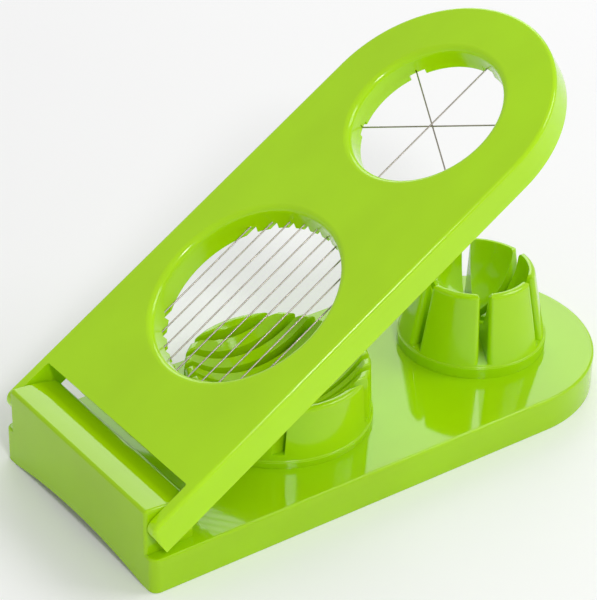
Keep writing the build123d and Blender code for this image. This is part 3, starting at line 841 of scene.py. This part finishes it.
# ------------------------------------------------------------------ the lid
class EGGSLICER_OT_lid(Operator):
    """Model the lid: skirted plate, ears, windows with rounded rims, collars and ribs"""
    bl_idname = "eggslicer.lid"
    bl_label = "Lid"

    def execute(self, context):
        sizes = context.scene.slicer_sizes
        crisp = sizes.crisp_round
        lid = slab(-EAR_REACH, WEDGING_S, HALF_WIDTH, -LID_DEPTH, 0)
        bevel(lid, lambda e: all(near(p.x, -EAR_REACH) and near(p.z, 0) for p in e),
              EAR_ROUND, 8)

        def outer_top(e):
            on_side = near(abs(e[0].y), HALF_WIDTH) and near(e[0].y, e[1].y)
            on_nose = all(
                near((p.x - WEDGING_S) ** 2 + p.y**2, HALF_WIDTH**2, 2) and p.x > WEDGING_S - 1
                for p in e
            )
            high = all(p.z > -EAR_ROUND + 0.01 for p in e)
            turned_down = on_side and all(p.z > -EAR_ROUND - 0.01 for p in e)
            return (high and on_nose) or (turned_down and not near(e[0].x, e[1].x, 0.001))

        bevel(lid, outer_top, sizes.lid_round, 5)
        bevel(lid, lambda e: all(near(p.z, -LID_DEPTH) for p in e)
              and not (near(e[0].x, WEDGING_S) and near(e[1].x, WEDGING_S)), crisp, 2)
        self.hollow(lid)
        self.collars(lid)
        self.windows(lid, sizes.rim_round)
        self.holes(lid)
        settle(lid, "lid_moulding", LID_PLACE, "lid_frame", "lid_plastic")
        return {"FINISHED"}

    def hollow(self, lid):
        """Space under the plate, and the gap between the ears."""
        under = slab(PLATE_REAR + EAR_ROOT, WEDGING_S, HALF_WIDTH - SKIRT,
                     -LID_DEPTH - OVERRUN, -PLATE)
        bevel(under, lambda e: all(near(p.z, -PLATE) for p in e)
              and not (near(e[0].x, WEDGING_S) and near(e[1].x, WEDGING_S))
              and not all(near(p.x, PLATE_REAR + EAR_ROOT) for p in e), 0.8, 3)
        root = cuboid((PLATE_REAR - 1, -EAR_IN, -LID_DEPTH - OVERRUN),
                      (PLATE_REAR + EAR_ROOT + 1.5, EAR_IN, -PLATE))
        gap = cuboid((-EAR_REACH - OVERRUN, -EAR_IN, -LID_DEPTH - OVERRUN),
                     (PLATE_REAR, EAR_IN, OVERRUN))
        bevel(gap, lambda e: all(near(p.x, PLATE_REAR) for p in e)
              and not near(e[0].z, e[1].z), 0.8, 4)
        cut(lid, under, root, gap)

    def collars(self, lid):
        """Double-walled collars that the rings bear on, their bosses, and two ribs."""
        for centre, window, out, turns in (
            (SLICING_S, SLICING_WINDOW, SLICING_RING_OUT, SLICING_TURNS),
            (WEDGING_S, WEDGING_WINDOW, WEDGING_RING_OUT, WEDGING_TURNS),
        ):
            for low_r, high_r in ((window - 2.5, window + COLLAR_WALL), (out - RIB, out)):
                band = [(low_r, RING_TOP), (high_r, RING_TOP),
                        (high_r, COLLAR_ROOT), (low_r, COLLAR_ROOT)]
                weld(lid, turned(band, centre, 120, closed=True))
            for x, y in spots(centre, window + RING_WIDTH / 2, turns):
                weld(lid, rod((x, y, (RING_TOP + COLLAR_ROOT) / 2), RING_WIDTH / 2 - 0.2,
                              COLLAR_ROOT - RING_TOP))
        middle = (SLICING_S + SLICING_RING_OUT + WEDGING_S - WEDGING_RING_OUT) / 2
        reach = HALF_WIDTH - SKIRT + 0.4
        for x in (PLATE_REAR + EAR_ROOT + RIB, middle):
            weld(lid, cuboid((x - RIB / 2, -reach, -PLATE - LID_RIB_DEPTH),
                             (x + RIB / 2, reach, COLLAR_ROOT)))

    def windows(self, lid, rim):
        """Windows with tapering walls and softly rounded upper rims."""
        for centre, radius, draft in (
            (SLICING_S, SLICING_WINDOW, SLICING_DRAFT),
            (WEDGING_S, WEDGING_WINDOW, WEDGING_DRAFT),
        ):
            slope = tan(radians(draft))
            bottom = -LID_DEPTH - OVERRUN
            funnel = [(radius + bottom * slope, bottom)]
            funnel += arc((radius - rim * slope + rim, -rim), rim, 180 - draft, 92, 8)
            funnel += [(radius + rim, 0.02), (radius + rim, 3)]
            cut(lid, turned(funnel, centre, 192))

    def holes(self, lid):
        """Pilot holes for the ring screws and blind holes for the pins."""
        for centre, window, turns in (
            (SLICING_S, SLICING_WINDOW, SLICING_TURNS),
            (WEDGING_S, WEDGING_WINDOW, WEDGING_TURNS),
        ):
            for x, y in spots(centre, window + RING_WIDTH / 2, turns):
                cut(lid, rod((x, y, RING_TOP + 1.8), 1.1, 5.6))
        for side in (-1, 1):
            hole = rod((0, side * (EAR_IN + (PIN_IN_EAR - 1) / 2), -HINGE_DROP),
                       PIN_RADIUS + PIN_GAP, PIN_IN_EAR + 1, "Y")
            cut(lid, hole)


# ------------------------------------------------------------------ rings, wires and metal
def half_chord(radius, y):
    """Half a circle's chord at the offset y."""
    return sqrt(radius**2 - y**2)


class EGGSLICER_OT_rings(Operator):
    """Model the two rings that clamp the wires, with grooves, notches and screw holes"""
    bl_idname = "eggslicer.rings"
    bl_label = "Wire rings"

    def execute(self, context):
        self.ring("slicing_wire_ring", SLICING_S, SLICING_WINDOW, SLICING_DRAFT,
                  SLICING_RING_OUT, SLICING_WIRES, SLICING_NOTCH, SLICING_TURNS)
        self.ring("wedging_wire_ring", WEDGING_S, WEDGING_WINDOW, WEDGING_DRAFT,
                  WEDGING_RING_OUT, WEDGING_WIRES, WEDGING_NOTCH, WEDGING_TURNS)
        return {"FINISHED"}

    def ring(self, node, centre, window, draft, out, wires, notch, turns):
        """One ring, grooved and notched for its wires."""
        slope = tan(radians(draft))
        band = rounded_band(window + RING_LOW * slope, window + RING_TOP * slope, out,
                            RING_LOW, RING_TOP, 0.35)
        ring = turned(band, centre, 160, True)
        for y, turn, level in wires:
            floor = RING_TOP - WIRE - level * WIRE_STEP
            run = half_chord(out - WIRE_END, y)
            groove = cuboid((centre - run, y - WIRE / 2, floor),
                            (centre + run, y + WIRE / 2, RING_TOP + 1))
            run = half_chord(window + NOTCH_REACH, y)
            gap = cuboid((centre - run, y - notch / 2, RING_LOW - 1),
                         (centre + run, y + notch / 2, floor))
            cut(ring, turn_about(groove, centre, turn), turn_about(gap, centre, turn))
        for x, y in spots(centre, window + RING_WIDTH / 2, turns):
            cut(ring, rod((x, y, RING_LOW), 2.2, 3.0), rod((x, y, RING_LOW), 1.3, 12.0))
        settle(ring, node + "_moulding", LID_PLACE, node, "lid_plastic")


class EGGSLICER_OT_wires(Operator):
    """Model the steel wires, with their ends crushed flat where the rings clamp them"""
    bl_idname = "eggslicer.wires"
    bl_label = "Wires"

    def execute(self, context):
        for number, (y, turn, level) in enumerate(SLICING_WIRES):
            node = "slicing_wire_%02d" % (number + 1)
            self.wire(node, SLICING_S, SLICING_WINDOW, SLICING_RING_OUT, y, turn, level)
        for number, (y, turn, level) in enumerate(WEDGING_WIRES):
            node = "wedging_wire_%d" % (number + 1)
            self.wire(node, WEDGING_S, WEDGING_WINDOW, WEDGING_RING_OUT, y, turn, level)
        return {"FINISHED"}

    def wire(self, node, centre, window, out, y, turn, level):
        """One wire: a circle drawn out along X through its round and flattened stretches."""
        radius = WIRE / 2
        run = half_chord(out - WIRE_END, y)
        grip = half_chord(window + NOTCH_REACH, y)
        z = RING_TOP - radius - level * WIRE_STEP
        leave()
        bpy.ops.mesh.primitive_circle_add(
            vertices=16, radius=radius * 0.7, fill_type="NGON",
            location=(centre - run, y, z), rotation=(0, pi / 2, 0))
        steel = bpy.context.object
        bpy.ops.object.transform_apply(location=True, rotation=True, scale=True)
        bpy.ops.object.mode_set(mode="EDIT")
        bpy.ops.mesh.select_all(action="SELECT")
        # along the wire: place, height and breadth against a round wire
        stations = [
            (-run + 0.08, 1.0, 1.0), (-grip - 1.2, 1.0, 1.0), (-grip - 0.8, 0.72, 1.0),
            (-grip - 0.3, 0.72, 1.0), (-grip, 1.0, 1.0), (0, 1.0, 1.0), (grip, 1.0, 1.0),
            (grip + 0.3, 0.72, 1.0), (grip + 0.8, 0.72, 1.0), (grip + 1.2, 1.0, 1.0),
            (run - 0.08, 1.0, 1.0), (run, 0.7, 0.7),
        ]
        at, height, breadth = -run, 0.7, 0.7
        for to, to_height, to_breadth in stations:
            bpy.ops.mesh.extrude_region_move(
                TRANSFORM_OT_translate={"value": (to - at, 0, 0)})
            bpy.ops.transform.resize(
                value=(1, to_breadth / breadth, to_height / height),
                center_override=(centre + to, y, z))
            at, height, breadth = to, to_height, to_breadth
        bpy.ops.object.mode_set(mode="OBJECT")
        turn_about(steel, centre, turn)
        settle(steel, node + "_steel", LID_PLACE, node, "drawn_wire", 50)


def screw(head_radius, head_height, shank_radius, length, recess):
    """A pan-head screw, head down, its head's seat at z = 0, with a cross recess."""
    dome = 0.45 * head_height
    profile = [(0.2, -head_height)]
    profile += [(head_radius * 0.55, -head_height + 0.05 * dome)]
    profile += [(head_radius * 0.85, -head_height + 0.35 * dome)]
    profile += [(head_radius * 0.97, -head_height + dome), (head_radius, -head_height * 0.3)]
    profile += [(head_radius * 0.96, 0), (shank_radius, 0)]
    profile += [(shank_radius, length - 0.6), (shank_radius * 0.5, length)]
    body = turned(profile, 0, 32)
    arm = recess / 2
    slot = recess * 0.18
    cut(body, cuboid((-arm, -slot, -head_height - 1), (arm, slot, -head_height * 0.35)))
    cut(body, cuboid((-slot, -arm, -head_height - 1), (slot, arm, -head_height * 0.35)))
    return body


def copies(model, places, z):
    """Copies of a model at the given places, each turned a little further, as one object."""
    made = []
    for k, (x, y) in enumerate(places):
        take(model)
        bpy.ops.object.duplicate()
        copy = bpy.context.object
        copy.matrix_world = (
            Matrix.Translation((x, y, z)) @ Matrix.Rotation(0.6 + 1.1 * k, 4, "Z"))
        bpy.ops.object.transform_apply(location=True, rotation=True, scale=True)
        made.append(copy)
    bpy.data.objects.remove(model)
    return gather(made)


class EGGSLICER_OT_screws(Operator):
    """Model the screws that hold the cups and the rings"""
    bl_idname = "eggslicer.screws"
    bl_label = "Screws"

    def execute(self, context):
        for node, centre in (
            ("slicing_cup_screws", SLICING_X), ("wedging_cup_screws", WEDGING_X)
        ):
            model = screw(*CUP_SCREW)
            places = spots(centre, CUP_SCREW_CIRCLE, CUP_TURNS)
            settle(copies(model, places, DECK_UNDER), node + "_steel", TRAY_PLACE,
                   node, "zinc_plate")
        for node, centre, window, turns in (
            ("slicing_ring_screws", SLICING_S, SLICING_WINDOW, SLICING_TURNS),
            ("wedging_ring_screws", WEDGING_S, WEDGING_WINDOW, WEDGING_TURNS),
        ):
            model = screw(*RING_SCREW)
            places = spots(centre, window + RING_WIDTH / 2, turns)
            settle(copies(model, places, RING_LOW + RING_SCREW[1]), node + "_steel", LID_PLACE,
                   node, "zinc_plate")
        return {"FINISHED"}


class EGGSLICER_OT_pins(Operator):
    """Model the two short hinge pins with rounded ends"""
    bl_idname = "eggslicer.pins"
    bl_label = "Hinge pins"

    def execute(self, context):
        for side, name in ((-1, "right"), (1, "left")):
            node = "hinge_pin_" + name
            low, high = node_box(node)
            length = high.y - low.y
            profile = [(PIN_RADIUS - 0.5, 0), (PIN_RADIUS - 0.15, 0.12), (PIN_RADIUS, 0.5)]
            profile += [(PIN_RADIUS, length - 0.5), (PIN_RADIUS - 0.15, length - 0.12)]
            profile += [(PIN_RADIUS - 0.5, length)]
            pin = turned(profile, 0, 40)
            pin.matrix_world = (
                Matrix.Translation((HINGE.x, low.y, HINGE.z)) @ Matrix.Rotation(-pi / 2, 4, "X"))
            take(pin)
            bpy.ops.object.transform_apply(location=True, rotation=True, scale=True)
            settle(pin, node + "_steel", TRAY_PLACE, node, "zinc_plate")
        return {"FINISHED"}


# ------------------------------------------------------------------ the stage
class EGGSLICER_OT_stage(Operator):
    """Set the floor, the soft lights and the camera"""
    bl_idname = "eggslicer.stage"
    bl_label = "Stage"

    def execute(self, context):
        leave()
        bpy.ops.mesh.primitive_plane_add(size=8, location=(0, 0, 0))
        floor = context.object
        floor.name = "floor"
        floor.data.materials.append(finish_named("floor_paint"))
        world = bpy.data.worlds.new("studio")
        world.use_nodes = True
        world.node_tree.nodes["Background"].inputs["Color"].default_value = (1, 1, 1, 1)
        world.node_tree.nodes["Background"].inputs["Strength"].default_value = 0.53
        context.scene.world = world
        # name, place, width, height and power of each soft light, aimed at the slicer
        for name, place, width, height, power in (
            ("key", (0.80, -0.50, 1.00), 0.6, 0.6, 5.0),
            ("window", (0.76, 1.03, 0.78), 0.95, 0.85, 5.8),
            ("fill", (-0.30, -0.93, 0.87), 0.20, 0.20, 4.5),
        ):
            lamp = bpy.data.lights.new(name, "AREA")
            lamp.shape = "RECTANGLE"
            lamp.size = width
            lamp.size_y = height
            lamp.energy = power
            lamp_object = bpy.data.objects.new(name, lamp)
            context.collection.objects.link(lamp_object)
            aim = Vector((0, 0, 0.03)) - Vector(place)
            lamp_object.matrix_world = (
                Matrix.Translation(place) @ aim.to_track_quat("-Z", "Y").to_matrix().to_4x4())
        self.camera(context)
        context.scene.view_settings.view_transform = "Standard"
        return {"FINISHED"}

    def camera(self, context):
        """The camera: above, behind the hinge and to the right."""
        camera_data = bpy.data.cameras.new("camera")
        camera_data.lens = 139.9
        camera_data.sensor_width = 36
        camera_data.clip_end = 20
        camera = bpy.data.objects.new("camera", camera_data)
        context.collection.objects.link(camera)
        turn, drop, roll = radians(53.47), radians(31.36), radians(1.33)
        aim = Vector((cos(drop) * cos(turn), cos(drop) * sin(turn), -sin(drop)))
        target = Vector((0.01711, 0.04488, 0.020))
        distance = 0.8246
        right = Vector((sin(turn), -cos(turn), 0))
        up = Vector((sin(drop) * cos(turn), sin(drop) * sin(turn), cos(drop)))
        right_rolled = right * cos(roll) + up * sin(roll)
        up_rolled = up * cos(roll) - right * sin(roll)
        place = Matrix.Identity(4)
        for column, axis in enumerate((right_rolled, up_rolled, -aim)):
            for row in range(3):
                place[row][column] = axis[row]
        camera.matrix_world = Matrix.Translation(target - aim * distance) @ place
        context.scene.camera = camera


# ------------------------------------------------------------------ panel and registration
PIECES = (
    EGGSLICER_OT_tray, EGGSLICER_OT_slicing_cup, EGGSLICER_OT_wedging_cup,
    EGGSLICER_OT_lid, EGGSLICER_OT_rings, EGGSLICER_OT_wires, EGGSLICER_OT_screws,
    EGGSLICER_OT_pins, EGGSLICER_OT_stage,
)


class EGGSLICER_PT_panel(Panel):
    """Lists the slicer's pieces, sizes and colours"""
    bl_idname = "EGGSLICER_PT_panel"
    bl_label = "Egg slicer"
    bl_space_type = "VIEW_3D"
    bl_region_type = "UI"
    bl_category = "Egg slicer"

    def draw(self, context):
        for group in (context.scene.slicer_sizes, context.scene.slicer_colours):
            box = self.layout.box()
            for name in group.__annotations__:
                box.prop(group, name)
        for piece in PIECES:
            self.layout.operator(piece.bl_idname)


CLASSES = (SlicerSizes, SlicerColours, *PIECES, EGGSLICER_PT_panel)


def register():
    for cls in CLASSES:
        bpy.utils.register_class(cls)
    bpy.types.Scene.slicer_sizes = PointerProperty(type=SlicerSizes)
    bpy.types.Scene.slicer_colours = PointerProperty(type=SlicerColours)


def unregister():
    del bpy.types.Scene.slicer_colours
    del bpy.types.Scene.slicer_sizes
    for cls in reversed(CLASSES):
        bpy.utils.unregister_class(cls)


def main():
    """Build every piece and the stage."""
    register()
    bpy.ops.eggslicer.tray()
    bpy.ops.eggslicer.slicing_cup()
    bpy.ops.eggslicer.wedging_cup()
    bpy.ops.eggslicer.lid()
    bpy.ops.eggslicer.rings()
    bpy.ops.eggslicer.wires()
    bpy.ops.eggslicer.screws()
    bpy.ops.eggslicer.pins()
    bpy.ops.eggslicer.stage()


if __name__ == "__main__":
    main()
